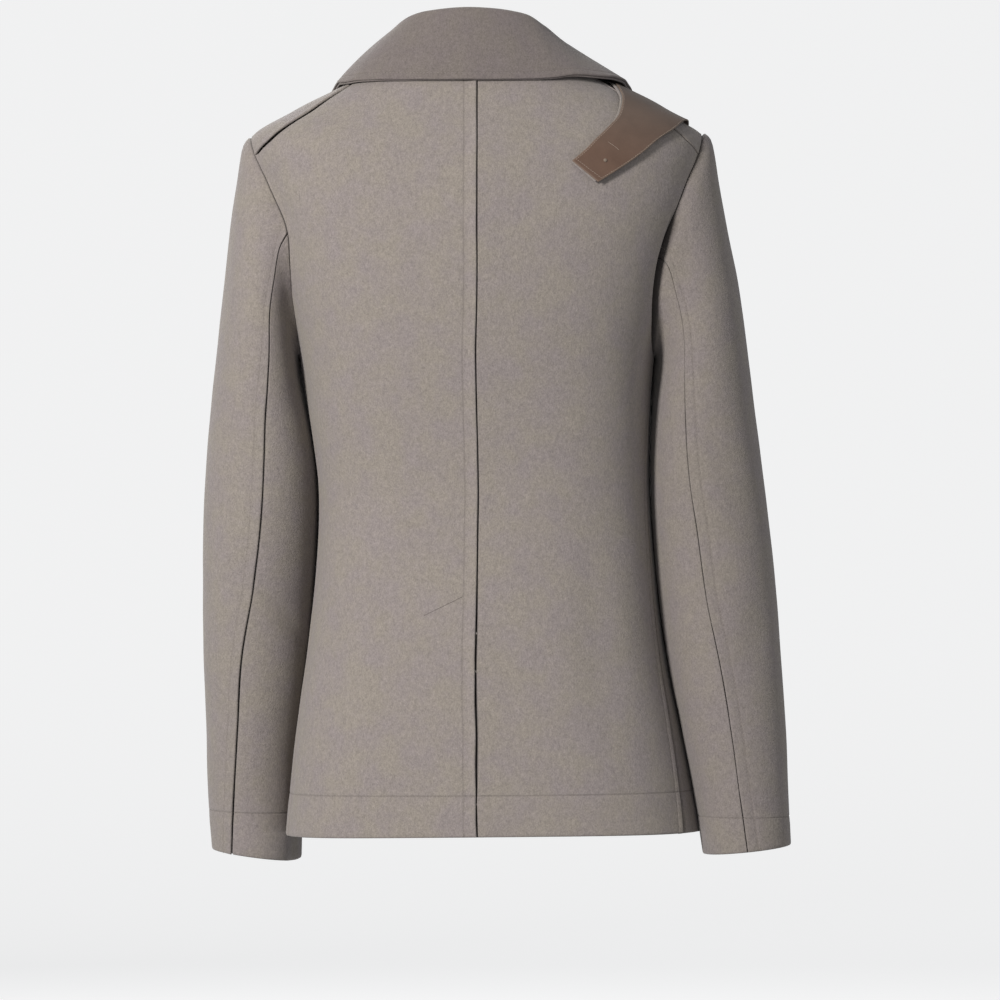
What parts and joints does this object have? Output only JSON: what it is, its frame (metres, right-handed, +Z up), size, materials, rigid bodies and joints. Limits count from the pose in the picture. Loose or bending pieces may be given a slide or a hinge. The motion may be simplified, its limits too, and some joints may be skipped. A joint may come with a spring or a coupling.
{
  "type": "pea coat, worn",
  "caption": "Hip length double breasted wool coat in its worn hollow form, with a wide turned down collar and a leather faced throat tab over one shoulder.",
  "frame": {"origin": "middle of the neck opening, where the wearer holds the coat", "axes": "+Z up, the wearer faces -Y, the wearer's left is +X"},
  "size_m": [0.5276, 0.275, 0.7656],
  "materials": {
    "wool": "taupe grey melton with a short nap",
    "leather": "smooth brown leather",
    "button": "satin dark brown"
  },
  "bodies": {
    "root": {"back_left": "wool", "back_right": "wool", "vent_underlap": "wool", "front_left": "wool", "front_right": "wool", "lapel_left": "wool", "lapel_right": "wool", "top_sleeve_left": "wool", "under_sleeve_left": "wool", "top_sleeve_right": "wool", "under_sleeve_right": "wool", "upper_collar": "wool", "under_collar": "wool", "tab_wool": "wool", "tab_leather": "leather", "button_1": "button", "button_2": "button", "button_3": "button", "button_4": "button", "button_5": "button", "button_6": "button"}
  },
  "joints": []
}
